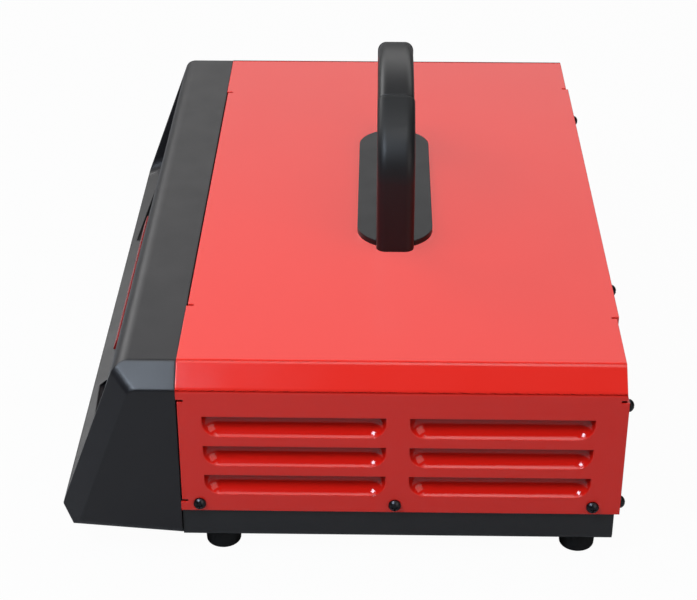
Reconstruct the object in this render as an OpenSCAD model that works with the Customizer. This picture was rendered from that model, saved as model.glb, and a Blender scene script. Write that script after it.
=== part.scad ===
// Workshop battery charger: folded sheet cover with pressed louvres, moulded raked front, carrying handle.
// Everything is drawn in cover coordinates (x across, y back from the front joint, z down from the top sheet)
// and then set on its feet by placed().

/* [Cover] */
// Width over the folded cover
cover_width = 440; // [420:1:460]
// Length of the cover from the front joint to the rear edge
cover_length = 240.6; // [232:0.2:260]
// Height of the cover side, from the top sheet to the lower edge
cover_side_height = 90; // [90:0.5:94]
// Width of the sloping facet along each long top edge
facet_width = 12.5; // [10:0.5:14]
// Drop of the sloping facet
facet_drop = 11.5; // [10:0.5:13]
// Sheet thickness of the cover
cover_sheet = 1.2; // [1:0.1:1.4]
// Outside radius of the bends beside the facets
cover_bend = 4.6; // [3:0.2:5]
// Depth of the return flanges folded in at the front and rear
flange_depth = 11; // [8:0.5:12]
// Distance from the cover side to the end of the folded stretch of the front top edge
front_flange_end = 71; // [60:1:80]
// Distance from the cover side to the end of the folded stretch of the rear top edge
rear_flange_end = 60.8; // [54:0.2:70]
// Length of the relief slits at the ends of the flanges
slit_length = 4; // [3:0.5:5]
// Width of the relief slits
slit_width = 1.6; // [1.2:0.1:2]
// How far the folded front flange sits behind the joint
front_flange_gap = 0.7; // [0.5:0.1:1]
// How far the folded rear flange stands past the sheet edge
rear_flange_step = 1.3; // [1.2:0.1:1.6]

/* [Louvres] */
// Length of one pressed louvre
louvre_length = 99.6; // [80:0.2:102]
// Height of one louvre, from the sheared edge to the flush lower edge
louvre_height = 13; // [11:0.5:14]
// How deep the louvre is pressed in
louvre_depth = 6; // [5:0.25:6.5]
// Radius of the rounded lower side and ends of the louvre
louvre_round = 10; // [9:0.5:11]
// Spacing from one louvre to the next below it
louvre_pitch = 19.1; // [18:0.1:20]
// Level of the highest sheared edge below the top sheet
louvre_top = 27.9; // [26:0.1:29]
// Start of the front column of louvres behind the joint
louvre_start = 13.3; // [12:0.1:16]
// Start-to-start distance of the two columns
louvre_column_pitch = 112; // [108:0.5:114]

/* [Front bezel] */
// Rake of the front, measured from upright
rake = 20.5; // [18:0.5:22]
// How far the lip reaches in front of the joint
lip_reach = 67.3; // [64:0.1:69]
// Level of the lip below the top sheet
lip_drop = 92.6; // [91:0.1:94]
// Radius of the top front edge
brow_radius = 10; // [8:0.5:12]
// Width of the bevel between each side and the raked front
bevel_width = 9; // [7:0.5:10]
// Depth of the same bevel behind the raked front
bevel_depth = 11.5; // [10:0.5:13]
// Wall thickness of the moulding
bezel_wall = 3; // [2.5:0.1:3.4]
// Width of the raked border beside the front opening
border_width = 2.6; // [2:0.1:4]
// Depth of the front opening down to the inner web
recess_depth = 11.5; // [10:0.5:12]
// Height of the front opening up the rake
recess_height = 87; // [84:0.5:88]
// Radius of the upper corners of the front opening
recess_corner = 10; // [8:1:16]
// Upward slope of the ledge behind the lip
ledge_slope = 23; // [20:0.5:26]
// Radius of the hollow corner between the ledge and each side wall
ledge_fillet = 8; // [5:0.5:10]
// Radius of the rounded corner between each facet and the bevel
mitre_round = 9; // [6:0.5:10]
// Radius of the rounded lower edges of the moulding
chin_round = 6; // [4:0.5:8]

/* [Control panel] */
// Thickness of the control panel
panel_sheet = 2; // [1.6:0.1:2.4]
// Thickness of the red accent strip
accent_thickness = 5.5; // [4:0.25:6]
// Length of the red accent strip
accent_length = 166; // [120:2:180]
// Height of the red accent strip
accent_height = 8; // [6:0.5:10]
// Level of the accent strip up the rake
accent_level = 24; // [20:0.5:26]
// Diameter of the push buttons
button_diameter = 14; // [12:0.5:16]
// Travel of the push buttons
button_travel = 1.5; // [1:0.1:2]

/* [Base and feet] */
// Depth of the base below the cover edge
base_depth = 20.1; // [19:0.1:21.5]
// Set-back of the base from the cover on each side
base_inset = 1.5; // [1.4:0.1:2]
// Sheet thickness of the base
base_sheet = 1.5; // [1.2:0.1:2]
// Outside radius of the bends along the lower edges of the base
base_bend = 6; // [4:0.5:7]
// Height of the base walls inside the cover
base_lap = 9; // [8.5:0.5:10]
// Diameter of the rubber feet
foot_diameter = 20.6; // [19:0.2:22]
// Height of the rubber feet
foot_height = 10.6; // [10:0.1:12]
// Distance of the foot centres from the cover side
foot_inset = 15.4; // [14.4:0.2:18]
// Distance of the front feet behind the joint
foot_front = 21.4; // [19:0.2:24]
// Distance between front and rear feet
foot_pitch = 200; // [190:0.5:204]

/* [Handle] */
// Height of the handle above the top sheet
handle_height = 88.9; // [84:0.1:92]
// Outside radius of the crowned top of the handle
crown_radius = 128; // [120:1:136]
// Outside radius of the handle shoulders
shoulder_radius = 36; // [33:0.5:38]
// Slope at which the crown turns into the shoulder
shoulder_slope = 30; // [28:0.5:32]
// Slope of the crown at the seam between grip and leg
seam_slope = 19; // [16:0.5:22]
// Inward lean of the handle legs
leg_lean = 4; // [3:0.5:6]
// Width of the handle legs
leg_width = 22.4; // [21:0.2:23]
// Width of the grip sleeve
grip_width = 21.4; // [20:0.2:22]
// Thickness of the handle strap
strap_thickness = 13; // [12:0.5:14]
// Radius of the strap corners
strap_corner = 5.4; // [4:0.2:5.6]
// Middle of the handle behind the joint
handle_centre = 117.7; // [112:0.1:122]
// Length of the plate under the handle
plate_length = 160; // [154:1:166]
// Width of the plate under the handle
plate_width = 45.4; // [42:0.2:48]
// Thickness of the plate under the handle
plate_thickness = 3.5; // [3:0.25:5]

/* [Fixings] */
// Head diameter of the cover screws
screw_head = 6.9; // [6:0.1:7.2]
// Head height of the cover screws
screw_head_height = 3.3; // [2.8:0.1:3.6]
// Shank diameter of the cover screws
screw_shank = 3.6; // [3.2:0.1:3.8]
// Clearance all round for parts that pass through holes
hole_clearance = 0.3; // [0.2:0.05:0.4]

/* [Fan] */
// Side of the square fan frame
fan_size = 70; // [68:1:71]
// Depth of the fan
fan_depth = 20; // [18:0.5:24]
// Gap between the rotor and the frame
fan_gap = 1; // [0.8:0.1:1.4]

/* [Hidden] */
$fn = 64;

// Heights and reaches that set the object on its feet and centre it
overall_drop = cover_side_height + base_depth + foot_height;
rear_reach = cover_length + rear_flange_step + screw_head_height;
centre_shift = (lip_reach - rear_reach) / 2;

// Cover outline
half_width = cover_width / 2;
roof_half = half_width - facet_width;
facet_angle = atan2(facet_drop, facet_width);
roof_inner = tan(facet_angle / 2);
side_inner = tan((90 - facet_angle) / 2);
front_flange_half = half_width - front_flange_end;
rear_flange_half = half_width - rear_flange_end;
front_flange_side_top = 18;
front_flange_side_low = cover_side_height - 6.4;
rear_flange_side_top = 16;

// Louvre press: a round-ended bar standing out of the sheet by louvre_sink
louvre_sink = louvre_round - louvre_depth;
louvre_half_chord = sqrt(louvre_round * louvre_round - louvre_sink * louvre_sink);
louvre_centre = louvre_height - louvre_half_chord;
louvre_rows = [0, 1, 2];
louvre_columns = [0, 1];

// Base
base_drop = cover_side_height + base_depth;
base_half = half_width - base_inset;
base_top = cover_side_height - base_lap;
base_front = 0.3;
floor_level = -base_drop + base_sheet;

// Bezel profile
chin_reach = 60;
chin_drop = base_drop - 7.2;
bezel_rear_drop = base_drop - 2.2;
underside_slope = atan2(bezel_rear_drop - chin_drop, chin_reach);
bezel_bend = 2.4;
chin_half = half_width + 0.05;
brow_reach = lip_reach - lip_drop * tan(rake);
opening_half = half_width - bevel_width - border_width;
web_back = recess_depth + 2.5;
pocket_end = 94;

// Panel position, measured in from the raked front
panel_front = recess_depth - panel_sheet;
panel_low = 12;
panel_high = recess_height - 0.6;

button_places = [40, 68];
socket_place = half_width - 70;
socket_level = 50;
socket_body = 20;
rocker_pivot = -3;
rocker_tilt = 8;

// Fixings
screw_level = cover_side_height - 5;
side_screw_places = [10.4, cover_length / 2 - 2.4, cover_length - 13.9];
rear_screw_side = half_width - 5.2;
rear_screw_inner = half_width - 102;
rear_screw_places = [
    [-rear_screw_inner, -6.2], [rear_screw_inner, -6.2],
    [-rear_screw_side, -21.3], [rear_screw_side, -21.3],
    [-rear_screw_side, -screw_level], [rear_screw_side, -screw_level]
];
screw_reach = 7;

// Rear panel
panel_rear_face = cover_length + rear_flange_step - cover_sheet;
rear_sheet = 1.5;
rear_plate_face = panel_rear_face - rear_sheet;
base_rear = rear_plate_face;
fan_place = [102 - half_width, -45.8];
fan_hole = fan_size / 2 - 4.5;
inlet_place = [half_width - 100, -50];
rocker_place = [62, -38];
fuse_place = [62, -72];

// Handle, with the centre of the strap as its centreline
crown_centre = handle_height - crown_radius;
crown_line = crown_radius - strap_thickness / 2;
shoulder_line = shoulder_radius - strap_thickness / 2;
shoulder_centre = [
    (crown_radius - shoulder_radius) * sin(shoulder_slope),
    crown_centre + (crown_radius - shoulder_radius) * cos(shoulder_slope)
];
leg_top = shoulder_centre[1] + shoulder_line * sin(leg_lean);
leg_foot = shoulder_centre[0] + shoulder_line * cos(leg_lean) + leg_top * tan(leg_lean);
core_width = grip_width - 8;
core_thickness = strap_thickness - 6;
leg_overrun = 0.4;
bolt_offset = 1;

// Inside
board_level = floor_level + 10;
board_place = [half_width / 2, cover_length / 2];
board_size = [150, 170];
board_sheet = 1.6;
pillar_inset = 6;
transformer_place = [15 - half_width / 2, cover_length / 2 - 8];
core_size = [84, 44, 70];
core_limb = 14;
coil_size = [55.2, 72];
coil_height = core_size[2] - 2 * core_limb - 0.4;
clamp_sheet = 1.5;
clamp_width = 18;
clamp_foot = 15;
sink_size = [100, 8, 48];
sink_fins = 9;
fin_depth = 32;
chip_size = [16, 5, 21];
chip_pitch = 25;
can_diameter = 22;
can_height = 40;
can_pitch = 30;

function unit(v) = v / norm(v);
function tangent_length(p, a, b, r) = r * tan((180 - acos(unit(a - p) * unit(b - p))) / 2);
function arc_centre(p, a, b, r) =
    p + unit(unit(a - p) + unit(b - p)) * r / sin(acos(unit(a - p) * unit(b - p)) / 2);

// Roof-shaped section of the cover, inset by the given amount and open at the bottom
function roof_outline(inset, drop) = [
    [-half_width + inset, -drop],
    [-half_width + inset, -facet_drop - inset * side_inner],
    [-roof_half + inset * roof_inner, -inset],
    [roof_half - inset * roof_inner, -inset],
    [half_width - inset, -facet_drop - inset * side_inner],
    [half_width - inset, -drop]
];

// Shift from cover coordinates to the object standing on its feet
module placed() {
    translate([0, centre_shift, overall_drop]) children();
}

module along_x(from, to) {
    translate([from, 0, 0]) rotate([90, 0, 90]) linear_extrude(to - from) children();
}

module along_y(from, to) {
    translate([0, to, 0]) rotate([90, 0, 0]) linear_extrude(to - from) children();
}

module along_z(from, to) {
    translate([0, 0, from]) linear_extrude(to - from) children();
}

// Frame on the raked front: x across, y inwards from the front, z up the rake from the lip
module on_rake() {
    translate([0, -lip_reach, -lip_drop]) rotate([-rake, 0, 0]) children();
}

// Convex outline whose corners are rounded by true arcs
module soft_polygon(points, radii) {
    n = len(points);
    difference() {
        polygon(points);
        for (i = [0 : n - 1])
            if (radii[i] > 0) {
                p = points[i];
                a = points[(i + n - 1) % n];
                b = points[(i + 1) % n];
                reach = tangent_length(p, a, b, radii[i]);
                middle = arc_centre(p, a, b, radii[i]);
                // the sliver between the sharp corner and its arc, which crosses both sides cleanly
                difference() {
                    polygon([p, p + unit(a - p) * reach, middle, p + unit(b - p) * reach]);
                    translate(middle) circle(r = 1.0005 * radii[i]);
                }
            }
    }
}

module soft_box(size, r) {
    x = size[0] / 2;
    y = size[1] / 2;
    soft_polygon([[-x, -y], [x, -y], [x, y], [-x, y]], [r, r, r, r]);
}

module roof_section(inset, drop, bend) {
    soft_polygon(roof_outline(inset, drop), [0, bend, bend, bend, bend, 0]);
}

// Pan-head screw pointing up, seated on z = 0, with a cross recess
module pan_screw(head, height, shank, reach) {
    dome = (head * head / 4 + pow(height * 0.65, 2)) / (height * 1.3);
    difference() {
        union() {
            intersection() {
                cylinder(d = head, h = height);
                translate([0, 0, height - dome]) sphere(r = dome);
            }
            translate([0, 0, -reach]) cylinder(d = shank, h = reach + 0.5);
        }
        for (turn = [0, 90])
            rotate([0, 0, turn]) translate([0, 0, height]) cube([head * 0.56, head * 0.13, 2.6], center = true);
    }
}

module at_side_screws() {
    for (y = side_screw_places) {
        translate([half_width, y, -screw_level]) rotate([0, 90, 0]) children();
        translate([-half_width, y, -screw_level]) rotate([0, -90, 0]) children();
    }
}

module at_rear_screws() {
    for (p = rear_screw_places)
        translate([p[0], cover_length + rear_flange_step, p[1]]) rotate([-90, 0, 0]) children();
}

module at_feet() {
    for (x = [-1, 1], y = [0, 1])
        translate([x * (half_width - foot_inset), foot_front + y * foot_pitch, -base_drop]) children();
}

// One louvre position on each side, seen with x pointing outwards from the sheet
module at_louvres() {
    for (side = [0, 1], column = louvre_columns, row = louvre_rows)
        mirror([side, 0, 0])
            translate([
                half_width,
                louvre_start + column * louvre_column_pitch,
                -louvre_top - row * louvre_pitch
            ])
                children();
}

// Round-ended bar that the louvre is pressed round: flat behind, rounded below and at both ends
module louvre_bar(grow) {
    r = louvre_round + grow;
    ends = [louvre_half_chord, louvre_length - louvre_half_chord];
    translate([louvre_sink, 0, -louvre_centre]) {
        for (y = ends) {
            translate([0, y, 0]) sphere(r = r);
            translate([0, y, 0]) cylinder(r = r, h = louvre_centre + 1);
        }
        translate([0, ends[0], 0]) rotate([-90, 0, 0]) cylinder(r = r, h = ends[1] - ends[0]);
        translate([-r, ends[0], 0]) cube([2 * r, ends[1] - ends[0], louvre_centre + 1]);
    }
}

// Block that keeps the press bar to the levels below the sheared edge
module below_shear(from, to) {
    translate([from, -5, -louvre_height - 4]) cube([to - from, louvre_length + 10, louvre_height + 4]);
}

// Inward scoop of one louvre, left open along its sheared top edge
module louvre_scoop() {
    difference() {
        intersection() {
            louvre_bar(cover_sheet);
            below_shear(-louvre_depth - 2 * cover_sheet, 0);
        }
        louvre_bar(0);
    }
}

// Opening that one louvre leaves in the flat sheet, its edge just inside the wall of the scoop
module louvre_opening() {
    edge = 0.1;
    low = -louvre_height - edge;
    corner = louvre_half_chord + edge;
    along_x(-cover_sheet - 1, 1)
        soft_polygon(
            [[-edge, 0], [-edge, low], [louvre_length + edge, low], [louvre_length + edge, 0]],
            [0, corner, corner, 0]
        );
}

module cover_skin() {
    difference() {
        along_y(0, cover_length + rear_flange_step)
            roof_section(0, cover_side_height, cover_bend);
        along_y(-1, cover_length + rear_flange_step + 1)
            roof_section(cover_sheet, cover_side_height + 1, cover_bend - cover_sheet);
        // folded stretches sit behind the front joint
        translate([-front_flange_half, -1, -cover_sheet - 1])
            cube([2 * front_flange_half, 1 + front_flange_gap, cover_sheet + 2]);
        for (side = [0, 1])
            mirror([side, 0, 0])
                translate([half_width - cover_sheet - 1, -1, -front_flange_side_low])
                    cube([
                        cover_sheet + 2,
                        1 + front_flange_gap,
                        front_flange_side_low - front_flange_side_top
                    ]);
        // the rear edge steps back outside the folded stretches
        for (side = [0, 1])
            mirror([side, 0, 0]) {
                translate([rear_flange_half, cover_length, -rear_flange_side_top])
                    cube([half_width, rear_flange_step + 1, rear_flange_side_top + 1]);
            }
        // relief slits
        for (side = [0, 1])
            mirror([side, 0, 0]) {
                translate([front_flange_half - slit_width / 2, -1, -cover_sheet - 1])
                    cube([slit_width, 1 + slit_length, cover_sheet + 2]);
                translate([rear_flange_half - slit_width / 2, cover_length - slit_length + 1, -cover_sheet - 1])
                    cube([slit_width, slit_length + 2, cover_sheet + 2]);
                for (level = [front_flange_side_top, front_flange_side_low])
                    translate([half_width - cover_sheet - 1, -1, -level - slit_width / 2])
                        cube([cover_sheet + 2, 1 + slit_length, slit_width]);
                translate([
                    half_width - cover_sheet - 1,
                    cover_length - slit_length + 1,
                    -rear_flange_side_top - slit_width / 2
                ])
                    cube([cover_sheet + 2, slit_length + 2, slit_width]);
            }
        at_louvres() louvre_opening();
        at_side_screws() cylinder(d = screw_shank + 2 * hole_clearance, h = 6, center = true);
        for (x = [-1, 1], y = [-1, 1])
            translate([x * (leg_foot - bolt_offset), handle_centre + y * 5, -cover_sheet - 1])
                cylinder(d = 4 + 2 * hole_clearance, h = cover_sheet + 2);
    }
}

module cover_flanges() {
    front = front_flange_gap;
    rear = cover_length + rear_flange_step - cover_sheet;
    difference() {
        for (y = [front, rear]) {
            half = y == front ? front_flange_half : rear_flange_half;
            top = y == front ? front_flange_side_top : rear_flange_side_top;
            low = y == front ? front_flange_side_low : cover_side_height + slit_width / 2;
            translate([-half + slit_width / 2, y, -flange_depth - cover_sheet / 2])
                cube([2 * half - slit_width, cover_sheet, flange_depth]);
            for (side = [0, 1])
                mirror([side, 0, 0])
                    translate([half_width - cover_sheet / 2 - flange_depth, y, -low + slit_width / 2])
                        cube([flange_depth, cover_sheet, low - top - slit_width]);
        }
        at_rear_screws() cylinder(d = screw_shank + 2 * hole_clearance, h = 6, center = true);
    }
}

module cover() {
    color([0.75, 0.13, 0.12]) placed() {
        cover_skin();
        cover_flanges();
        at_louvres() louvre_scoop();
    }
}

module base_section(inset, top) {
    x = base_half - inset;
    bend = base_bend - inset;
    soft_polygon([[-x, -top], [-x, -base_drop + inset], [x, -base_drop + inset], [x, -top]], [0, bend, bend, 0]);
}

module base_tray() {
    color([0.1, 0.1, 0.1]) placed() difference() {
        along_y(base_front, base_rear) base_section(0, base_top);
        along_y(base_front + base_sheet, base_rear - base_sheet) base_section(base_sheet, base_top - 1);
        translate([-half_width, base_front - 1, -cover_side_height])
            cube([cover_width, base_sheet + 2, cover_side_height]);
        // the rear wall stops just above the lower edge of the rear panel
        translate([-half_width, base_rear - base_sheet - 0.5, -cover_side_height + 2])
            cube([cover_width, base_sheet + 2, cover_side_height]);
        at_side_screws() cylinder(d = screw_shank + 2 * hole_clearance, h = 16, center = true);
        at_feet() cylinder(d = screw_shank + 2 * hole_clearance, h = 10, center = true);
    }
}

module rear_panel() {
    color([0.12, 0.12, 0.12]) placed() difference() {
        along_y(rear_plate_face, panel_rear_face)
            polygon([
                [-half_width + 3, -cover_side_height + 0.5],
                [-half_width + 3, -facet_drop - 3],
                [-roof_half + 1, -2.5],
                [roof_half - 1, -2.5],
                [half_width - 3, -facet_drop - 3],
                [half_width - 3, -cover_side_height + 0.5]
            ]);
        at_rear_screws() cylinder(d = screw_shank + 2 * hole_clearance, h = 12, center = true);
        translate([fan_place[0], rear_plate_face - 1, fan_place[1]]) rotate([-90, 0, 0])
            cylinder(d = fan_size - 6, h = 4);
        for (x = [-fan_hole, fan_hole], z = [-fan_hole, fan_hole])
            translate([fan_place[0] + x, rear_plate_face - 1, fan_place[1] + z])
                rotate([-90, 0, 0]) cylinder(d = 3.6, h = 4);
        translate([inlet_place[0] - 14, rear_plate_face - 1, inlet_place[1] - 10.5]) cube([28, 4, 21]);
        translate([rocker_place[0] - 13.2, rear_plate_face - 1, rocker_place[1] - 9.2]) cube([26.4, 4, 18.4]);
        translate([fuse_place[0], rear_plate_face - 1, fuse_place[1]]) rotate([-90, 0, 0])
            cylinder(d = 12.6, h = 4);
    }
}

module bezel_profile() {
    soft_polygon(
        [[0, 0], [-brow_reach, 0], [-lip_reach, -lip_drop], [-chin_reach, -chin_drop], [0, -bezel_rear_drop]],
        [0, brow_radius, 1.6, 2, 0]
    );
}

// Hollow of the front opening: raked pocket above a ledge that rises behind the lip
module front_recess() {
    intersection() {
        on_rake() along_y(-5, recess_depth)
            soft_polygon(
                [
                    [-opening_half, -12],
                    [-opening_half, recess_height],
                    [opening_half, recess_height],
                    [opening_half, -12]
                ],
                [0, recess_corner, recess_corner, 0]
            );
        // seen along the ledge, with hollow corners where it meets the side walls
        on_rake() translate([0, 0, 0.8]) rotate([ledge_slope + rake, 0, 0]) along_y(-20, 90)
            soft_polygon(
                [[-opening_half, 0], [-opening_half, 110], [opening_half, 110], [opening_half, 0]],
                [ledge_fillet, 0, 0, ledge_fillet]
            );
    }
}

// Shallow pocket sunk into each end of the ledge, its front edge running aslant
module ledge_pocket() {
    outer = opening_half - ledge_fillet / 2;
    for (side = [0, 1])
        mirror([side, 0, 0])
            on_rake() along_z(3.5, 30)
                polygon([
                    [-outer, 9.2],
                    [-pocket_end, 3.4],
                    [-pocket_end + 3, 6],
                    [-pocket_end + 3, recess_depth],
                    [-outer, recess_depth]
                ]);
}

// Sliver outside a rounded edge, drawn with the sharp edge at the origin and the body towards -x
module edge_sliver(turn, r) {
    reach = r * tan(turn / 2);
    difference() {
        polygon([
            [1, 0],
            [-reach * sin(turn / 2), reach * cos(turn / 2)],
            [-r / cos(turn / 2), 0],
            [-reach * sin(turn / 2), -reach * cos(turn / 2)]
        ]);
        translate([-r / cos(turn / 2), 0]) circle(r = 1.004 * r);
    }
}

// Corner where the sloping facet turns into the bevel of the raked front, at positive x
module mitre_rounding() {
    facet_normal = unit([facet_drop, 0, facet_width]);
    bevel_normal = unit([bevel_depth, -bevel_width * cos(rake), bevel_width * sin(rake)]);
    edge = unit(cross(facet_normal, bevel_normal));
    outward = unit(facet_normal + bevel_normal);
    turn = acos(facet_normal * bevel_normal);
    tilt = acos(edge[2]);
    swing = atan2(edge[1], edge[0]);
    across = [cos(tilt) * cos(swing), cos(tilt) * sin(swing), -sin(tilt)];
    beside = [-sin(swing), cos(swing), 0];
    // level up the rake at which bevel, facet and side meet
    rise = (lip_drop - facet_drop + bevel_depth * sin(rake)) / cos(rake);
    translate([
        half_width,
        -lip_reach + bevel_depth * cos(rake) + rise * sin(rake),
        -facet_drop
    ])
        rotate([0, tilt, swing]) rotate([0, 0, atan2(outward * beside, outward * across)])
            translate([0, 0, -40]) linear_extrude(50) edge_sliver(turn, mitre_round);
}

module bezel_hollow() {
    back = web_back / cos(rake) - lip_reach;
    low = -bezel_rear_drop + bezel_wall + 4;
    intersection() {
        along_x(-half_width, half_width)
            polygon([
                [1, -bezel_wall],
                [back + (lip_drop - bezel_wall) * tan(rake), -bezel_wall],
                [back + (lip_drop + low) * tan(rake), low],
                [1, -bezel_rear_drop + bezel_wall]
            ]);
        along_y(-lip_reach, 1) roof_section(bezel_wall, base_drop, 1);
    }
}

module bezel() {
    color([0.2, 0.2, 0.21]) placed() difference() {
        intersection() {
            along_x(-half_width, half_width) bezel_profile();
            along_y(-lip_reach - 5, 0) roof_section(0, base_drop + 5, bezel_bend);
            // rounded lower edges that follow the sloping underside
            translate([0, 0, -bezel_rear_drop - 0.05]) rotate([-underside_slope, 0, 0])
                along_y(-lip_reach - 15, 15)
                    soft_polygon(
                        [[-chin_half, 0], [-chin_half, 130], [chin_half, 130], [chin_half, 0]],
                        [chin_round, 0, 0, chin_round]
                    );
        }
        bezel_hollow();
        front_recess();
        ledge_pocket();
        on_rake() along_y(recess_depth - 1, web_back + 1)
            polygon([[-190, 18], [190, 18], [190, 80], [-190, 80]]);
        for (side = [0, 1])
            mirror([side, 0, 0]) {
                on_rake() along_z(-40, 140)
                    polygon([
                        [half_width - 2 * bevel_width, -bevel_depth],
                        [half_width + bevel_width, 2 * bevel_depth],
                        [half_width + bevel_width, -bevel_depth]
                    ]);
                mitre_rounding();
            }
    }
}

module at_socket(x) {
    on_rake() translate([x, panel_front, socket_level]) rotate([-90, 0, 0]) children();
}

module at_button(x) {
    on_rake() translate([x, panel_front, 58]) rotate([-90, 0, 0]) children();
}

module control_panel() {
    color([0.16, 0.16, 0.17]) placed() difference() {
        union() {
            on_rake() along_y(panel_front, recess_depth)
                soft_polygon(
                    [
                        [-opening_half + 0.4, panel_low],
                        [-opening_half + 0.4, panel_high],
                        [opening_half - 0.4, panel_high],
                        [opening_half - 0.4, panel_low]
                    ],
                    [recess_corner, recess_corner - 0.4, recess_corner - 0.4, recess_corner]
                );
            // bosses that carry the board
            for (x = [-72, 84], z = [40, 76])
                on_rake() translate([x, recess_depth - 0.5, z]) rotate([-90, 0, 0]) cylinder(d = 6, h = 9);
        }
        on_rake() translate([-60, panel_front - 1, 44]) cube([76, panel_sheet + 2, 28]);
        for (x = button_places)
            at_button(x) translate([0, 0, -1])
                cylinder(d = button_diameter + 2 * hole_clearance, h = panel_sheet + 2);
        for (x = [-socket_place, socket_place])
            at_socket(x) translate([0, 0, -1])
                cylinder(d = socket_body + 2 * hole_clearance, h = panel_sheet + 2);
    }
}

module accent_strip() {
    color([0.75, 0.1, 0.1]) placed()
        on_rake() along_y(panel_front - accent_thickness, panel_front)
            translate([0, accent_level + accent_height / 2]) soft_box([accent_length, accent_height], 2);
}

module display_window() {
    color([0.05, 0.06, 0.07]) placed()
        on_rake() {
            translate([-59.8, panel_front - 0.6, 44.2]) cube([75.6, panel_sheet + 0.6, 27.6]);
            translate([-62, recess_depth, 42]) cube([80, 1.5, 32]);
        }
}

// Push button with a retaining collar behind the panel and a stem towards the board
module push_button(x) {
    at_button(x) {
        translate([0, 0, -3]) cylinder(d = button_diameter, h = 3 + panel_sheet + 1);
        translate([0, 0, panel_sheet + 0.2]) cylinder(d = button_diameter + 3, h = 1.6);
        translate([0, 0, panel_sheet]) cylinder(d = 5, h = 5.6);
    }
}

module mode_button() {
    color([0.7, 0.7, 0.7]) placed() push_button(button_places[0]);
}

module start_button() {
    color([0.7, 0.7, 0.7]) placed() push_button(button_places[1]);
}

// Round output socket: collar outside the panel, threaded body and nut behind it
module output_socket() {
    difference() {
        union() {
            translate([0, 0, -5]) cylinder(d = 25, h = 5);
            translate([0, 0, -0.5]) cylinder(d = socket_body, h = 20);
            translate([0, 0, panel_sheet]) cylinder(d = 26, h = 4, $fn = 6);
        }
        translate([0, 0, -6]) cylinder(d = 13, h = 18);
    }
    translate([0, 0, 2]) cylinder(d = 5, h = 11);
}

module positive_socket() {
    color([0.7, 0.1, 0.1]) placed() at_socket(socket_place) output_socket();
}

module negative_socket() {
    color([0.08, 0.08, 0.08]) placed() at_socket(-socket_place) output_socket();
}

module control_board() {
    board = recess_depth + 8.5;
    color([0.05, 0.3, 0.12]) placed() on_rake() {
        translate([-80, board, 34]) cube([172, 1.6, 46]);
        for (x = button_places)
            translate([x - 3, board - 1, 55]) cube([6, 1.5, 6]);
        translate([-55, board - 4.5, 46]) cube([66, 5, 22]);
    }
}

// Plan of the plate under the handle, with fully rounded ends
module plate_plan() {
    straight = plate_length / 2 - plate_width / 2;
    square([2 * straight, plate_width], center = true);
    for (x = [-straight, straight])
        translate([x, 0]) circle(d = plate_width);
}

module leg_section(grow) {
    soft_box([strap_thickness + 2 * grow, leg_width + 2 * grow], strap_corner + grow);
}

// One leg from the seam over the shoulder to its foot, standing at positive x
module handle_leg(grow) {
    crown_end = [crown_line * sin(shoulder_slope), crown_centre + crown_line * cos(shoulder_slope)];
    sweep = 90 - shoulder_slope - leg_lean;
    translate([0, handle_centre, 0]) rotate([90, 0, 0])
        translate(crown_end) rotate([0, 0, 90 - shoulder_slope]) {
            // the crowned stretch is a hair slimmer and runs a little way into the shoulder
            translate([-crown_line, 0]) rotate([0, 0, -leg_overrun])
                rotate_extrude(angle = shoulder_slope - seam_slope + leg_overrun)
                    translate([crown_line, 0]) leg_section(grow - 0.03);
            translate([-shoulder_line, 0]) rotate([0, 0, -sweep]) {
                rotate_extrude(angle = sweep) translate([shoulder_line, 0]) leg_section(grow);
                translate([shoulder_line, 0, 0]) rotate([90, 0, 0])
                    linear_extrude(leg_top / cos(leg_lean) + 4) leg_section(grow);
            }
        }
}

// Section swept along the crown, to the same slope on both sides of the middle
module along_crown(slope) {
    translate([0, handle_centre, crown_centre]) rotate([90, 0, 0]) rotate([0, 0, 90 - slope])
        rotate_extrude(angle = 2 * slope) translate([crown_line, 0]) children();
}

module handle_arch() {
    color([0.12, 0.12, 0.12]) placed() difference() {
        union() {
            for (side = [0, 1])
                mirror([side, 0, 0]) handle_leg(0);
            along_crown(seam_slope + 2) soft_box([core_thickness, core_width], 2);
        }
        translate([-120, 0, -20]) cube([240, cover_length, 20]);
        for (x = [-1, 1], y = [-1, 1])
            translate([x * (leg_foot - bolt_offset), handle_centre + y * 5, -1])
                cylinder(d = 4 + 2 * hole_clearance, h = 15);
    }
}

module handle_grip() {
    color([0.2, 0.2, 0.2]) placed() difference() {
        along_crown(seam_slope - 0.12) soft_box([strap_thickness, grip_width], strap_corner);
        along_crown(seam_slope + 1) soft_box([core_thickness + 0.4, core_width + 0.4], 2.2);
    }
}

module handle_plate() {
    color([0.15, 0.15, 0.15]) placed() difference() {
        along_z(0, plate_thickness) translate([0, handle_centre]) plate_plan();
        for (side = [0, 1])
            mirror([side, 0, 0]) handle_leg(0.2);
    }
}

module handle_bolts() {
    color([0.6, 0.6, 0.62]) placed()
        for (x = [-1, 1], y = [-1, 1])
            translate([x * (leg_foot - bolt_offset), handle_centre + y * 5, -cover_sheet]) {
                translate([0, 0, -3.5]) cylinder(d = 7.6, h = 3.5, $fn = 6);
                translate([0, 0, -0.5]) cylinder(d = 4, h = 13);
            }
}

module side_screws() {
    color([0.08, 0.08, 0.08]) placed()
        at_side_screws() pan_screw(screw_head, screw_head_height, screw_shank, screw_reach);
}

module rear_screws() {
    color([0.08, 0.08, 0.08]) placed()
        at_rear_screws() pan_screw(screw_head, screw_head_height, screw_shank, screw_reach);
}

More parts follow.
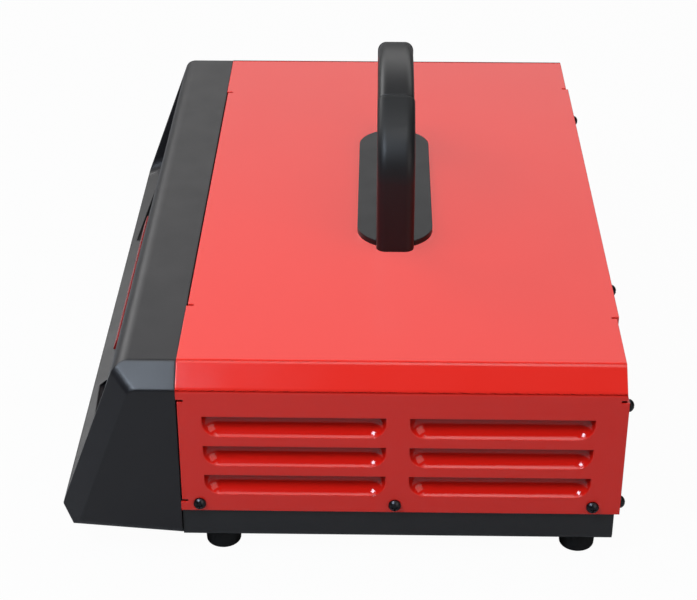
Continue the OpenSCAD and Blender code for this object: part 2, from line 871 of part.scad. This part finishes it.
module feet() {
    color([0.06, 0.06, 0.06]) placed()
        at_feet() rotate_extrude()
            difference() {
                soft_polygon(
                    [
                        [0, 0],
                        [foot_diameter / 2, 0],
                        [foot_diameter / 2 - 0.6, -foot_height],
                        [0, -foot_height]
                    ],
                    [0, 0, 1.2, 0]
                );
                square([2 * (screw_shank / 2 + hole_clearance), 60], center = true);
                translate([0, -foot_height]) square([9, 2 * (foot_height - 4)], center = true);
            }
}

module foot_screws() {
    color([0.5, 0.5, 0.52]) placed()
        at_feet() translate([0, 0, -4]) rotate([180, 0, 0]) pan_screw(7, 2.6, screw_shank, 10);
}

module at_fan() {
    translate([fan_place[0], rear_plate_face - fan_depth, fan_place[1]]) rotate([-90, 0, 0]) children();
}

module fan_frame() {
    color([0.07, 0.07, 0.08]) placed() at_fan() {
        difference() {
            linear_extrude(fan_depth) soft_box([fan_size, fan_size], 4);
            translate([0, 0, -1]) cylinder(d = fan_size - 4, h = fan_depth + 2);
            for (x = [-1, 1], y = [-1, 1])
                translate([x * fan_hole, y * fan_hole, -1]) cylinder(d = 3.6, h = fan_depth + 2);
        }
        difference() {
            union() {
                cylinder(d = 26, h = 2.5);
                for (turn = [45, 135])
                    rotate([0, 0, turn]) translate([-fan_size / 2 + 1, -2, 0]) cube([fan_size - 2, 4, 2.5]);
            }
            translate([0, 0, -1]) cylinder(d = 3 + 2 * hole_clearance, h = 5);
        }
    }
}

module fan_rotor() {
    rotor = fan_size - 4 - 2 * fan_gap;
    color([0.1, 0.1, 0.11]) placed() at_fan() {
        translate([0, 0, 3.2]) cylinder(d = 24, h = fan_depth - 5.2);
        translate([0, 0, 0.6]) cylinder(d = 3, h = 6);
        intersection() {
            for (turn = [0 : 360 / 7 : 359])
                rotate([0, 0, turn]) translate([10, 0, 3.2 + (fan_depth - 5.2) / 2])
                    rotate([42, 0, 0]) translate([0, -9, -0.7]) cube([rotor / 2, 18, 1.4]);
            translate([0, 0, 3.2]) cylinder(d = rotor, h = fan_depth - 5.2);
        }
    }
}

module fan_guard() {
    wire = 1.8;
    color([0.75, 0.75, 0.76]) placed()
        translate([fan_place[0], panel_rear_face + wire / 2, fan_place[1]]) rotate([-90, 0, 0]) difference() {
            union() {
                for (r = [8, 17, 26])
                    rotate_extrude() translate([r, 0]) circle(d = wire);
                for (turn = [45, 135])
                    rotate([0, 0, turn]) translate([-fan_hole * sqrt(2), -wire / 3, -wire / 2])
                        cube([2 * fan_hole * sqrt(2), wire / 1.5, wire / 1.5]);
                for (x = [-1, 1], y = [-1, 1])
                    translate([x * fan_hole, y * fan_hole, -wire / 2]) cylinder(d = 7, h = wire);
            }
            for (x = [-1, 1], y = [-1, 1])
                translate([x * fan_hole, y * fan_hole, -3]) cylinder(d = 3.6, h = 6);
        }
}

module fan_screws() {
    color([0.08, 0.08, 0.08]) placed()
        translate([fan_place[0], panel_rear_face + 1.8, fan_place[1]]) rotate([-90, 0, 0])
            for (x = [-1, 1], y = [-1, 1])
                translate([x * fan_hole, y * fan_hole, 0]) pan_screw(5.6, 1.9, 3, 20);
}

module mains_inlet() {
    color([0.05, 0.05, 0.05]) placed()
        translate([inlet_place[0], panel_rear_face, inlet_place[1]]) rotate([-90, 0, 0]) {
            difference() {
                union() {
                    linear_extrude(2.4) soft_box([31, 24], 2);
                    translate([0, 0, -22]) linear_extrude(23) square([27.6, 20.6], center = true);
                }
                translate([0, 0, -17]) linear_extrude(30)
                    polygon([[-11.6, -7.6], [-11.6, 4], [-8, 7.6], [8, 7.6], [11.6, 4], [11.6, -7.6]]);
            }
            for (p = [[-7, -2], [7, -2], [0, 2.4]])
                translate([p[0] - 1, p[1] - 2, -18]) cube([2, 4, 14]);
        }
}

module rocker_housing() {
    color([0.06, 0.06, 0.06]) placed()
        translate([rocker_place[0], panel_rear_face, rocker_place[1]]) rotate([-90, 0, 0]) {
            difference() {
                union() {
                    linear_extrude(2) soft_box([30, 22], 2);
                    translate([0, 0, -18]) linear_extrude(19) square([26, 18], center = true);
                }
                translate([0, 0, -14]) linear_extrude(20) square([23, 13], center = true);
            }
            // pivot pins inside the side walls
            translate([0, 7, rocker_pivot]) rotate([90, 0, 0]) cylinder(d = 2.4, h = 14);
        }
}

module rocker() {
    color([0.08, 0.08, 0.08]) placed()
        translate([rocker_place[0], panel_rear_face, rocker_place[1]]) rotate([-90, 0, 0])
            translate([0, 0, rocker_pivot]) rotate([0, rocker_tilt, 0]) difference() {
                rotate([90, 0, 0]) translate([0, 0, -6]) linear_extrude(12)
                    polygon([[-10.4, 1], [-10.4, 5.4], [0, 3.9], [10.4, 5.4], [10.4, 1], [3, -4], [-3, -4]]);
                rotate([90, 0, 0]) cylinder(d = 2.4 + 2 * hole_clearance, h = 20, center = true);
            }
}

module fuse_holder() {
    color([0.07, 0.07, 0.07]) placed()
        translate([fuse_place[0], panel_rear_face, fuse_place[1]]) rotate([-90, 0, 0]) difference() {
            union() {
                cylinder(d = 16, h = 2.4);
                translate([0, 0, -24]) cylinder(d = 12, h = 25);
                translate([0, 0, -rear_sheet - 3]) cylinder(d = 18, h = 3, $fn = 6);
            }
            translate([-4, -0.8, 1.4]) cube([8, 1.6, 2]);
        }
}

module at_transformer() {
    translate([transformer_place[0], transformer_place[1], floor_level]) children();
}

module at_board() {
    translate([board_place[0], board_place[1], board_level + board_sheet]) children();
}

// Laminated core with two windows for the winding
module transformer_core() {
    color([0.35, 0.35, 0.37]) placed() at_transformer() difference() {
        translate([-core_size[0] / 2, -core_size[1] / 2, 0]) cube(core_size);
        for (x = [-2 * core_limb, core_limb])
            translate([x, -core_size[1] / 2 - 1, core_limb])
                cube([core_limb, core_size[1] + 2, core_size[2] - 2 * core_limb]);
    }
}

module transformer_coil() {
    color([0.75, 0.45, 0.2]) placed() at_transformer() translate([0, 0, core_limb]) difference() {
        linear_extrude(coil_height) soft_box(coil_size, 9);
        translate([-core_limb - 0.3, -core_size[1] / 2 - 0.3, -1])
            cube([2 * core_limb + 0.6, core_size[1] + 0.6, core_size[2]]);
    }
}

// Bracket strapped over the core with a foot on each side
module transformer_clamp() {
    half = core_size[0] / 2;
    color([0.6, 0.6, 0.62]) placed() at_transformer()
        difference() {
            for (side = [0, 1])
                mirror([side, 0, 0]) {
                    translate([half, -clamp_width / 2, 0])
                        cube([clamp_sheet, clamp_width, core_size[2] + clamp_sheet]);
                    translate([0, -clamp_width / 2, core_size[2]])
                        cube([half + clamp_sheet, clamp_width, clamp_sheet]);
                    translate([half, -clamp_width / 2, 0])
                        cube([clamp_sheet + clamp_foot, clamp_width, clamp_sheet]);
                }
            for (x = [-1, 1])
                translate([x * (half + clamp_sheet + clamp_foot / 2), 0, -1]) cylinder(d = 5, h = 4);
        }
}

module power_board() {
    color([0.06, 0.32, 0.14]) placed()
        at_board() translate([-board_size[0] / 2, -board_size[1] / 2, -board_sheet])
            cube([board_size[0], board_size[1], board_sheet]);
}

module board_pillars() {
    color([0.7, 0.6, 0.3]) placed()
        for (x = [-1, 1], y = [-1, 1])
            translate([
                board_place[0] + x * (board_size[0] / 2 - pillar_inset),
                board_place[1] + y * (board_size[1] / 2 - pillar_inset),
                floor_level
            ])
                cylinder(d = 7, h = board_level - floor_level, $fn = 6);
}

module heat_sink() {
    color([0.65, 0.66, 0.68]) placed()
        at_board() translate([-sink_size[0] / 2, 15 - board_size[1] / 2, 0]) {
            cube(sink_size);
            for (i = [0 : sink_fins - 1])
                translate([i * (sink_size[0] - 4) / (sink_fins - 1), sink_size[1] - 0.5, 0])
                    cube([4, fin_depth + 0.5, sink_size[2]]);
        }
}

module rectifiers() {
    color([0.1, 0.1, 0.1]) placed()
        at_board()
            for (i = [-1.5 : 1 : 1.5])
                translate([i * chip_pitch - chip_size[0] / 2, 15 - board_size[1] / 2 - chip_size[1], 0]) {
                    translate([0, 0, 8]) cube(chip_size);
                    for (x = [2, 7, 12])
                        translate([x, 2, 0]) cube([1.4, 0.8, 8.5]);
                }
}

module capacitors() {
    color([0.15, 0.18, 0.3]) placed()
        at_board()
            for (i = [-1.5 : 1 : 1.5])
                translate([i * can_pitch, board_size[1] / 2 - 40, 0])
                    cylinder(d = can_diameter, h = can_height);
}

cover();
base_tray();
rear_panel();
bezel();
control_panel();
accent_strip();
display_window();
mode_button();
start_button();
positive_socket();
negative_socket();
control_board();
handle_plate();
handle_arch();
handle_grip();
handle_bolts();
side_screws();
rear_screws();
feet();
foot_screws();
fan_frame();
fan_rotor();
fan_guard();
fan_screws();
mains_inlet();
rocker_housing();
rocker();
fuse_holder();
transformer_core();
transformer_coil();
transformer_clamp();
power_board();
board_pillars();
heat_sink();
rectifiers();
capacitors();
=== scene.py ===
import math

import bpy
from mathutils import Matrix, Vector

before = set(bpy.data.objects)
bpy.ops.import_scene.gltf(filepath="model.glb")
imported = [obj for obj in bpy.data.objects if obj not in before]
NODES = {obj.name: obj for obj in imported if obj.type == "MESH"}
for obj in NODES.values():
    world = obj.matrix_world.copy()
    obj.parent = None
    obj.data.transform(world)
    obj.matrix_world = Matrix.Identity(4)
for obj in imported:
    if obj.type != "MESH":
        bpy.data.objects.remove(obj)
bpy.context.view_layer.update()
MM = 0.001


# ---------------------------------------------------------------- camera

CAMERA_PLACE = Vector((1.00462, 0.01729, 0.62312))
CAMERA_YAW = math.radians(1.007)
CAMERA_PITCH = math.radians(30.214)
PICTURE_WIDTH = 697    # pixels
FOCAL_LENGTH = 1765.7  # pixels of the same picture
SENSOR_WIDTH = 36      # millimetres


def place_camera():
    """Level camera on the louvred side, looking down on the case, as long-lensed as the photograph."""
    away = math.cos(CAMERA_PITCH)
    look = Vector((-away * math.cos(CAMERA_YAW), -away * math.sin(CAMERA_YAW), -math.sin(CAMERA_PITCH)))
    right = Vector((-math.sin(CAMERA_YAW), math.cos(CAMERA_YAW), 0))
    up = right.cross(look)
    data = bpy.data.cameras.new("photo_camera")
    data.sensor_width = SENSOR_WIDTH
    data.lens = FOCAL_LENGTH / PICTURE_WIDTH * SENSOR_WIDTH
    data.clip_start = 0.05
    camera = bpy.data.objects.new("photo_camera", data)
    turned = Matrix((right, up, -look)).transposed().to_4x4()
    camera.matrix_world = Matrix.Translation(CAMERA_PLACE) @ turned
    bpy.context.scene.collection.objects.link(camera)
    bpy.context.scene.camera = camera


place_camera()
bpy.context.scene.view_settings.view_transform = "Standard"


# ---------------------------------------------------------------- shader helpers

def linear(hex_colour):
    """sRGB hex colour as linear red, green, blue and alpha."""
    channels = [int(hex_colour[i:i + 2], 16) / 255 for i in (1, 3, 5)]
    return tuple(c / 12.92 if c <= 0.04045 else ((c + 0.055) / 1.055) ** 2.4 for c in channels) + (1.0,)


def add(tree, kind, sockets=None, **settings):
    """Adds a node; sockets maps an input's name or number to a value or to another node's output."""
    node = tree.nodes.new(kind)
    for name, value in settings.items():
        setattr(node, name, value)
    for key, value in (sockets or {}).items():
        if isinstance(value, bpy.types.NodeSocket):
            tree.links.new(value, node.inputs[key])
        else:
            node.inputs[key].default_value = value
    return node


def new_material(name):
    """An empty material, its node tree, and the object's own coordinates in metres."""
    material = bpy.data.materials.new(name)
    material.use_nodes = True
    tree = material.node_tree
    tree.nodes.clear()
    place = add(tree, "ShaderNodeTexCoord").outputs["Object"]
    return material, tree, place


def per_mm(size):
    """Texture scale, in cells a metre, for a pattern of that size in millimetres."""
    return 1000 / size


def mottled(tree, place, low, high, size, detail=3.0):
    """Colour that drifts between two close shades in patches of that size in millimetres."""
    noise = add(tree, "ShaderNodeTexNoise", {"Vector": place, "Scale": per_mm(size), "Detail": detail})
    mix = add(tree, "ShaderNodeMix", {"Factor": noise.outputs["Fac"], "A": linear(low), "B": linear(high)},
              data_type="RGBA")
    return mix.outputs["Result"]


def varied(tree, place, low, high, size):
    """A plain number that drifts between two values in patches of that size in millimetres."""
    noise = add(tree, "ShaderNodeTexNoise", {"Vector": place, "Scale": per_mm(size), "Detail": 2.0})
    spread = add(tree, "ShaderNodeMapRange", {"Value": noise.outputs["Fac"], "From Min": 0.3, "From Max": 0.7,
                                             "To Min": low, "To Max": high})
    return spread.outputs["Result"]


def grained(tree, place, size, depth, detail=2.0, edge=0.3):
    """Surface normal of a grain of that size and depth in millimetres. Edges catch the light as if
    rounded to the radius edge, which is what a mould or a coat of powder leaves."""
    noise = add(tree, "ShaderNodeTexNoise", {"Vector": place, "Scale": per_mm(size), "Detail": detail})
    rounded = add(tree, "ShaderNodeBevel", {"Radius": edge * MM}, samples=6)
    bump = add(tree, "ShaderNodeBump", {"Height": noise.outputs["Fac"], "Strength": 1.0, "Distance": depth * MM,
                                        "Normal": rounded.outputs["Normal"]})
    return bump.outputs["Normal"]


def surface(tree, **sockets):
    """The closing Principled shader; socket names are written with underscores."""
    named = {key.replace("_", " "): value for key, value in sockets.items()}
    shader = add(tree, "ShaderNodeBsdfPrincipled", named)
    add(tree, "ShaderNodeOutputMaterial", {"Surface": shader.outputs["BSDF"]})


# ---------------------------------------------------------------- finishes

# where the louvres lie on the cover
SIDE_FACE = 220 * MM       # the flat side, out from the middle
LOUVRE_TOP = 93 * MM       # just above the highest sheared edge
LOUVRE_PITCH = 19.1 * MM   # from one louvre down to the next
COLUMNS_MIDDLE = 30 * MM   # between the two columns, along the case
COLUMNS_REACH = 112 * MM   # from there to the far end of each column

WAVE_ANGLE = 20  # radians that a wave texture turns through in one unit at scale 1


def inside_louvres(tree, place):
    """Two masks: where the coat lies sunk in a pressed louvre, and how close it is there to the sheared edge, which
    sets the painted shade under that edge.
    """
    axes = add(tree, "ShaderNodeSeparateXYZ", {"Vector": place})
    off_centre = add(tree, "ShaderNodeMath", {0: axes.outputs["X"]}, operation="ABSOLUTE")
    sunk = add(tree, "ShaderNodeMapRange", {"Value": off_centre.outputs[0],
                                           "From Min": SIDE_FACE - 0.1 * MM, "From Max": SIDE_FACE - 1.0 * MM})
    in_columns = add(tree, "ShaderNodeMath", {0: axes.outputs["Y"], 1: COLUMNS_MIDDLE, 2: COLUMNS_REACH},
                     operation="COMPARE")
    below_top = add(tree, "ShaderNodeMath", {0: axes.outputs["Z"], 1: LOUVRE_TOP + 0.1 * MM}, operation="LESS_THAN")
    field = add(tree, "ShaderNodeMath", {0: in_columns.outputs[0], 1: below_top.outputs[0]}, operation="MULTIPLY")
    inside = add(tree, "ShaderNodeMath", {0: field.outputs[0], 1: sunk.outputs[0]}, operation="MULTIPLY")
    rows = add(tree, "ShaderNodeMath", {0: axes.outputs["Z"], 1: -1 / LOUVRE_PITCH, 2: LOUVRE_TOP / LOUVRE_PITCH},
               operation="MULTIPLY_ADD")
    down_row = add(tree, "ShaderNodeMath", {0: rows.outputs[0]}, operation="FRACT")
    shade_fade = add(tree, "ShaderNodeMapRange", {"Value": down_row.outputs[0], "From Min": 0.0, "From Max": 0.5,
                                             "To Min": 1.0, "To Max": 0.0})
    painted_shade = add(tree, "ShaderNodeMath", {0: inside.outputs[0], 1: shade_fade.outputs[0]}, operation="MULTIPLY")
    return inside.outputs[0], painted_shade.outputs[0]


def red_powder_coat():
    """Polyester powder coat, sprayed and baked on sheet steel: semi-gloss with a faint orange peel.
    In the hollow of a pressed louvre the melt runs out glossy and the red is a little deeper, and up under the
    sheared edge the red is painted darker: painted shade where the sheet above shadows the hollow."""
    material, tree, place = new_material("red_powder_coat")
    inside, painted_shade = inside_louvres(tree, place)
    # painted shade: the red turns dark up under each sheared edge, where the sheet above shadows the hollow
    shaded_sunk_red = add(tree, "ShaderNodeMix", {"Factor": painted_shade, "A": linear("#E41C12"), "B": linear("#6A0400")},
                   data_type="RGBA")
    open_red = mottled(tree, place, "#E52A20", "#E82C22", 60)
    red = add(tree, "ShaderNodeMix", {"Factor": inside, "A": open_red, "B": shaded_sunk_red.outputs["Result"]},
              data_type="RGBA")
    open_gloss = varied(tree, place, 0.15, 0.19, 25)
    gloss = add(tree, "ShaderNodeMix", {"Factor": inside, "A": open_gloss, "B": 0.12})
    surface(tree,
            Base_Color=red.outputs["Result"],
            Roughness=gloss.outputs["Result"],
            IOR=1.5,
            Normal=grained(tree, place, 2.4, 0.006, edge=0.8))
    return material


def black_powder_coat():
    """Fine-textured powder coat on the folded base and rear panel: satin, with a sandy feel."""
    material, tree, place = new_material("black_powder_coat")
    surface(tree,
            Base_Color=mottled(tree, place, "#1D1D1E", "#222223", 12),
            Roughness=varied(tree, place, 0.44, 0.52, 18),
            IOR=1.5,
            Normal=grained(tree, place, 0.7, 0.03, edge=0.8))
    return material


def grained_moulding(name, low, high, roughness, grain=0.45, depth=0.02, edge=0.5, ior=1.5):
    """Plastic or rubber moulded in a spark-eroded tool: even matte grain, drawn a little coarse so that it shows."""
    material, tree, place = new_material(name)
    surface(tree,
            Base_Color=mottled(tree, place, low, high, 30),
            Roughness=varied(tree, place, roughness - 0.03, roughness + 0.03, 20),
            IOR=ior,
            Normal=grained(tree, place, grain, depth, 1.0, edge))
    return material


def glossy_moulding(name, low, high, roughness=0.2):
    """Plastic moulded in a polished tool: smooth, with slow waves left by shrinkage."""
    material, tree, place = new_material(name)
    surface(tree,
            Base_Color=mottled(tree, place, low, high, 15),
            Roughness=varied(tree, place, roughness, roughness + 0.06, 12),
            IOR=1.49,
            Normal=grained(tree, place, 8, 0.008))
    return material


def foot_rubber():
    """Moulded nitrile rubber: dull, bloomed a little grey in patches."""
    material, tree, place = new_material("foot_rubber")
    surface(tree,
            Base_Color=mottled(tree, place, "#060606", "#0A0A0A", 6),
            Roughness=varied(tree, place, 0.66, 0.76, 6),
            IOR=1.38,
            Normal=grained(tree, place, 0.9, 0.03))
    return material


def bare_metal(name, low, high, roughness, size=4):
    """Plated or extruded metal: bright, with a cloudy change of gloss."""
    material, tree, place = new_material(name)
    surface(tree,
            Base_Color=mottled(tree, place, low, high, size),
            Metallic=1.0,
            Roughness=varied(tree, place, roughness - 0.05, roughness + 0.06, size),
            Normal=grained(tree, place, size / 8, 0.004))
    return material


def striped(name, low, high, pitch, depth, axis, metallic, roughness):
    """Stacked sheets or wound wire: fine parallel ridges at their real pitch in millimetres, with painted shade in
    the grooves and a painted highlight on the crests.
    """
    material, tree, place = new_material(name)
    scale = per_mm(pitch) * math.tau / WAVE_ANGLE
    wave = add(tree, "ShaderNodeTexWave", {"Vector": place, "Scale": scale, "Distortion": 0.4, "Detail": 1.0},
               bands_direction=axis)
    # painted shade and highlight: the colour follows the ridges, dark in the grooves and light on the crests
    mix = add(tree, "ShaderNodeMix", {"Factor": wave.outputs["Fac"], "A": linear(low), "B": linear(high)},
              data_type="RGBA")
    bump = add(tree, "ShaderNodeBump", {"Height": wave.outputs["Fac"], "Strength": 1.0, "Distance": depth * MM})
    surface(tree,
            Base_Color=mix.outputs["Result"],
            Metallic=metallic,
            Roughness=varied(tree, place, roughness - 0.05, roughness + 0.08, 10),
            Normal=bump.outputs["Normal"])
    return material


# ABS, moulded with a coarse grain: dull black with a faint violet cast, soft along its thick edges
BEZEL_ABS = grained_moulding("bezel_grained_abs", "#110F12", "#151316", 0.40, edge=1.5, ior=1.53)
# ABS, moulded with a fine grain: even dark satin behind the sockets and buttons
PANEL_ABS = grained_moulding("panel_satin_abs", "#1A1A1B", "#1F1F20", 0.40, grain=0.3, depth=0.008)
# grey ABS, moulded with a fine grain: pale satin push buttons that stand out from the panel
MODE_ABS = grained_moulding("button_grey_abs", "#8A8B8D", "#949597", 0.40, grain=0.4, depth=0.01)
START_ABS = grained_moulding("start_button_grey_abs", "#8A8B8D", "#949597", 0.40, grain=0.4, depth=0.01)
# glass-filled nylon, moulded: satin on the flat plate, duller and rounder on the arch
PLATE_NYLON = grained_moulding("plate_satin_nylon", "#1B1B1C", "#1F1F20", 0.42, grain=0.6, depth=0.01,
                               edge=1.0, ior=1.4)
ARCH_NYLON = grained_moulding("handle_matt_nylon", "#161718", "#1A1B1C", 0.47, grain=0.6, depth=0.01,
                              edge=2.5, ior=1.43)
# thermoplastic rubber, moulded over the arch: black with a soft sheen along its rounded edges
GRIP_RUBBER = grained_moulding("grip_soft_rubber", "#161617", "#1A1A1B", 0.38, grain=0.5, depth=0.015, edge=2.0)
# PBT, moulded: the dull frame and the slightly glossier blades of a fan
FRAME_PBT = grained_moulding("fan_black_pbt", "#131314", "#18181A", 0.42)
ROTOR_PBT = grained_moulding("rotor_black_pbt", "#161617", "#1C1C1E", 0.36)

# red ABS, nylon and epoxy from polished tools: smooth, with a broad clean highlight
ACCENT_ABS = glossy_moulding("accent_red_abs", "#98120E", "#A21611", 0.25)
SOCKET_NYLON = glossy_moulding("socket_red_nylon", "#A3120F", "#AE1813", 0.3)
SWITCHGEAR_NYLON = glossy_moulding("switchgear_black_nylon", "#101011", "#151516", 0.3)
ROCKER_NYLON = glossy_moulding("rocker_gloss_nylon", "#0B0B0C", "#101011", 0.16)
CHIP_EPOXY = glossy_moulding("moulded_epoxy", "#121213", "#19191A", 0.4)
# smoked acrylic: nearly black, with mirror-like gloss
WINDOW_ACRYLIC = glossy_moulding("smoked_acrylic", "#050607", "#08090B", 0.06)
# solder mask on glass-fibre board: deep green under a lacquer gloss
BOARD_GREEN = glossy_moulding("solder_mask_green", "#0E3B1E", "#125026", 0.3)
# plain PVC sleeve, shrunk on the cans: dark blue, smooth and taut
CAN_SLEEVE = glossy_moulding("shrink_sleeve_blue", "#121B38", "#18234A", 0.28)

BLACK_POWDER = black_powder_coat()
# blackened steel screws: dark grey metal, satin
BLACK_OXIDE = bare_metal("black_oxide_steel", "#343437", "#434347", 0.34, 2)
# zinc-plated steel: light grey metal, slightly cloudy
ZINC = bare_metal("zinc_plated_steel", "#B9B8B2", "#C6C7C8", 0.34)
# nickel-plated wire: the brightest metal here
PLATED_WIRE = bare_metal("bright_plated_wire", "#C9C9C7", "#D6D6D4", 0.22, 6)
# turned brass: warm yellow metal with a fine shine
BRASS = bare_metal("turned_brass", "#B08D3E", "#C49E4A", 0.3, 3)

# varnished steel sheets, enamelled copper wire and extruded aluminium: ridges at 0.5, 1.2 and 0.8 mm
LAMINATIONS = striped("varnished_laminations", "#3A3938", "#565452", pitch=0.5, depth=0.05, axis="Y",
                      metallic=1.0, roughness=0.5)
COPPER_WIRE = striped("enamelled_copper_wire", "#6E2E10", "#B5662C", pitch=1.2, depth=0.3, axis="Z",
                      metallic=0.7, roughness=0.35)
SINK_ALUMINIUM = striped("extruded_aluminium", "#A9ABAD", "#C3C5C7", pitch=0.8, depth=0.02, axis="Z",
                         metallic=1.0, roughness=0.38)

FINISHES = {
    "cover": red_powder_coat(),
    "base_tray": BLACK_POWDER,
    "rear_panel": BLACK_POWDER,
    "bezel": BEZEL_ABS,
    "control_panel": PANEL_ABS,
    "accent_strip": ACCENT_ABS,
    "display_window": WINDOW_ACRYLIC,
    "mode_button": MODE_ABS,
    "start_button": START_ABS,
    "positive_socket": SOCKET_NYLON,
    "negative_socket": SWITCHGEAR_NYLON,
    "control_board": BOARD_GREEN,
    "handle_plate": PLATE_NYLON,
    "handle_arch": ARCH_NYLON,
    "handle_grip": GRIP_RUBBER,
    "handle_bolts": ZINC,
    "side_screws": BLACK_OXIDE,
    "rear_screws": BLACK_OXIDE,
    "feet": foot_rubber(),
    "foot_screws": ZINC,
    "fan_frame": FRAME_PBT,
    "fan_rotor": ROTOR_PBT,
    "fan_guard": PLATED_WIRE,
    "fan_screws": BLACK_OXIDE,
    "mains_inlet": SWITCHGEAR_NYLON,
    "rocker_housing": SWITCHGEAR_NYLON,
    "rocker": ROCKER_NYLON,
    "fuse_holder": SWITCHGEAR_NYLON,
    "transformer_core": LAMINATIONS,
    "transformer_coil": COPPER_WIRE,
    "transformer_clamp": ZINC,
    "power_board": BOARD_GREEN,
    "board_pillars": BRASS,
    "heat_sink": SINK_ALUMINIUM,
    "rectifiers": CHIP_EPOXY,
    "capacitors": CAN_SLEEVE,
}

for node_name, finish in FINISHES.items():
    mesh = NODES[node_name].data
    mesh.materials.clear()
    mesh.materials.append(finish)


# ---------------------------------------------------------------- floor, background and lamps

def seen_directly(tree):
    """One for rays straight from the camera or through glass, zero for light that falls on the object."""
    path = add(tree, "ShaderNodeLightPath")
    seen = add(tree, "ShaderNodeMath", {0: path.outputs["Is Camera Ray"], 1: path.outputs["Is Transmission Ray"]},
               operation="MAXIMUM")
    return seen.outputs[0]


def build_floor():
    """Wide pale floor, all but white to the camera, that keeps a light shadow of the case."""
    bpy.ops.mesh.primitive_plane_add(size=16, location=(0, 0, 0))
    floor = bpy.context.object
    floor.name = "studio_floor"
    material, tree, _ = new_material("pale_floor")
    matt = add(tree, "ShaderNodeBsdfDiffuse", {"Color": linear("#A6A6A6")})
    white = add(tree, "ShaderNodeEmission", {"Color": (1, 1, 1, 1), "Strength": 1.0})
    share = add(tree, "ShaderNodeMath", {0: seen_directly(tree), 1: 0.97}, operation="MULTIPLY")
    mix = add(tree, "ShaderNodeMixShader", {0: share.outputs[0], 1: matt.outputs[0], 2: white.outputs[0]})
    add(tree, "ShaderNodeOutputMaterial", {"Surface": mix.outputs[0]})
    floor.data.materials.append(material)


def build_world():
    """Faint even room light; the camera sees it as plain white."""
    world = bpy.data.worlds.new("white_room")
    bpy.context.scene.world = world
    world.use_nodes = True
    tree = world.node_tree
    tree.nodes.clear()
    room = add(tree, "ShaderNodeBackground", {"Color": (1, 1, 1, 1), "Strength": 0.02})
    white = add(tree, "ShaderNodeBackground", {"Color": (1, 1, 1, 1), "Strength": 1.0})
    mix = add(tree, "ShaderNodeMixShader", {0: seen_directly(tree), 1: room.outputs[0], 2: white.outputs[0]})
    add(tree, "ShaderNodeOutputWorld", {"Surface": mix.outputs[0]})


def softbox(name, place, target, size, radiance, tint=(1, 1, 1), no_shadow_from=()):
    """Rectangular soft lamp aimed at a point; its power follows from its size and brightness.
    The pieces in no_shadow_from throw none in its light, so the top under the handle stays evenly lit."""
    data = bpy.data.lights.new(name, "AREA")
    data.shape = "RECTANGLE"
    data.size, data.size_y = size
    data.energy = radiance * math.pi * size[0] * size[1]
    data.color = tint
    lamp = bpy.data.objects.new(name, data)
    lamp.location = place
    lamp.rotation_euler = (Vector(target) - Vector(place)).to_track_quat("-Z", "Y").to_euler()
    lamp.visible_camera = False
    bpy.context.scene.collection.objects.link(lamp)
    if no_shadow_from:
        blockers = bpy.data.collections.new(name + "_blockers")
        for piece in no_shadow_from:
            blockers.objects.link(piece)
        for member in blockers.collection_objects:
            member.light_linking.link_state = "EXCLUDE"
        lamp.light_linking.blocker_collection = blockers


build_floor()
build_world()
HANDLE = [NODES[piece] for piece in ("handle_arch", "handle_grip", "handle_bolts", "handle_plate")]
# two wide lamps overhead light the top evenly, and a small cool key lamp gives the bezel its sheen
softbox("front_top_softbox", place=(0.15, -0.5, 1.6), target=(0.10, -0.5, 0.1), size=(1.7, 0.8), radiance=2.0)
softbox("rear_top_softbox", place=(0.15, 0.55, 1.6), target=(0.10, 0.5, 0.1), size=(1.2, 0.8), radiance=1.2)
softbox("front_key_softbox", place=(0.74, -0.54, 1.14), target=(0.2, -0.12, 0.1), size=(0.38, 0.42),
        radiance=24.0, tint=(0.80, 0.92, 1.08), no_shadow_from=HANDLE)
# two fill lamps open up the louvred side and the front, and the glossy top mirrors the far wall
softbox("rear_fill_softbox", place=(1.2, 1.2, 0.9), target=(0.2, 0, 0.05), size=(1.4, 1.3),
        radiance=1.35, tint=(1.0, 0.95, 0.90))
softbox("far_corner_softbox", place=(-1.2, -1.4, 1.0), target=(0, -0.1, 0.05), size=(1.2, 1.0), radiance=2.6)
softbox("far_white_wall", place=(-2.0, 0, 1.25), target=(0, 0, 0.1), size=(4.0, 1.4),
        radiance=1.1, no_shadow_from=HANDLE)
